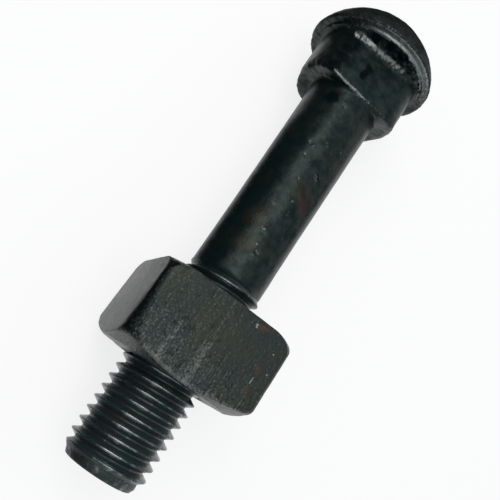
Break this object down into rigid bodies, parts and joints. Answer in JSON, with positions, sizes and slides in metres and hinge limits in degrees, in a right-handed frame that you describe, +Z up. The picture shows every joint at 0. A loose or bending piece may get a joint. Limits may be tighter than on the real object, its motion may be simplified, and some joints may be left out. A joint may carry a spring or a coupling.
{
  "type": "railway track bolt with square nut",
  "caption": "Round-headed rail joint bolt with an oval neck that locks in the joint bar, a reduced shank, a rolled coarse thread and a chamfered square nut.",
  "frame": {"origin": "on the bolt's axis, in the plane of the bearing face under the head", "axes": "+X along the bolt from the head to the threaded end; +Z up with the bolt lying on its side, square to two flats of the nut; +Y along the neck's long axis"},
  "size_m": [0.1268, 0.0334, 0.0335],
  "materials": {
    "bolt_steel": "forged and rolled steel, oil-blackened, semi-gloss, with small pits, scuffs and a few rust spots",
    "nut_steel": "forged steel, oil-blackened, duller than the bolt, with fine speckle, scratches and a few rust marks"
  },
  "bodies": {
    "bolt": {"track_bolt": "bolt_steel"},
    "nut": {"square_nut": "nut_steel"}
  },
  "joints": [
    {"name": "nut_travel", "type": "slide", "parent": "bolt", "child": "nut", "axis": [1, 0, 0], "range_m": [-0.00254, 0.03556]}
  ]
}
